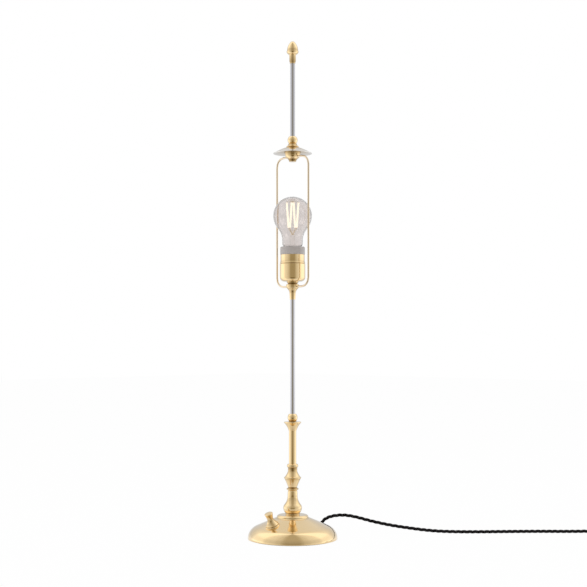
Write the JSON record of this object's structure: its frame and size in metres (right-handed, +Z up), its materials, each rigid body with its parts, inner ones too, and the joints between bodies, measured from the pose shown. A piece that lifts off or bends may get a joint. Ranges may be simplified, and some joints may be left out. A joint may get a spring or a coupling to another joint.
{
  "type": "table lamp",
  "caption": "Slim polished brass table lamp without a shade: domed foot with switch knob, turned column, steel stem, wire loop round a clear screw-in bulb, disc and acorn finial.",
  "frame": {"origin": "on the table, under the middle of the foot", "axes": "+Z up along the column; the wire loop lies in the XZ plane; the switch knob stands on the foot towards -Y and the cord leaves towards +Y"},
  "size_m": [0.4929, 0.5465, 0.7741],
  "materials": {
    "polished_brass": "polished, lacquered",
    "bright_steel": "bright polished steel tube",
    "zinc_steel": "zinc plated",
    "cast_weight": "raw casting",
    "black_felt": "felt",
    "black_plastic": "moulded, fine satin",
    "lead_insulation": "flexible insulation",
    "glazed_porcelain": "grey glazed porcelain",
    "nickel_contact": "nickel plated",
    "bright_aluminium": "bright rolled, satin",
    "clear_glass": "clear, thin",
    "filament_glow": "glowing coated stick",
    "cord_textile": "braided black textile over twisted cores"
  },
  "bodies": {
    "lamp": {"ballast": "cast_weight", "base_nut": "zinc_steel", "base_shell": "polished_brass", "base_washer": "zinc_steel", "centre_contact": "nickel_contact", "column_ball": "polished_brass", "column_baluster": "polished_brass", "column_bead": "polished_brass", "column_cup": "polished_brass", "column_knop": "polished_brass", "column_neck": "polished_brass", "column_tube": "polished_brass", "cord_bushing": "polished_brass", "cord_coil": "cord_textile", "cord_run": "cord_textile", "cord_tie": "black_plastic", "disc_collar": "polished_brass", "felt_pad": "black_felt", "holder_cap": "polished_brass", "holder_nipple": "zinc_steel", "holder_nut": "zinc_steel", "holder_shell": "polished_brass", "hub_button": "polished_brass", "loop_left": "polished_brass", "loop_right": "polished_brass", "lower_hub": "polished_brass", "lower_rod": "bright_steel", "plug_body": "black_plastic", "plug_pins": "nickel_contact", "porcelain_core": "glazed_porcelain", "porcelain_skirt": "glazed_porcelain", "riser_leads": "lead_insulation", "screw_shell": "nickel_contact", "shade_disc": "bright_aluminium", "stem_ferrule": "polished_brass", "switch_body": "black_plastic", "switch_nut": "zinc_steel", "switch_washer": "polished_brass", "tie_tube": "zinc_steel", "upper_ball": "polished_brass", "upper_hub": "polished_brass", "upper_rod": "bright_steel"},
    "knob": {"switch_knob": "polished_brass", "switch_shaft": "polished_brass"},
    "bulb": {"bulb_glass": "clear_glass", "bulb_cap": "bright_aluminium", "cap_insulator": "black_plastic", "cap_contact": "nickel_contact", "bulb_stem": "clear_glass", "filament_frame": "nickel_contact", "bulb_filaments": "filament_glow"},
    "finial": {"finial_cup": "polished_brass", "finial_acorn": "polished_brass"}
  },
  "joints": [
    {"name": "switch_turn", "type": "hinge", "parent": "lamp", "child": "knob", "pos_m": [0, -0.045, 0.02551], "axis": [0, -0.3939, 0.9191], "continuous": true},
    {"name": "bulb_lift", "type": "slide", "parent": "lamp", "child": "bulb", "axis": [0, 0, 1], "range_m": [0, 0.03]},
    {"name": "finial_lift", "type": "slide", "parent": "lamp", "child": "finial", "axis": [0, 0, 1], "range_m": [0, 0.015]}
  ]
}
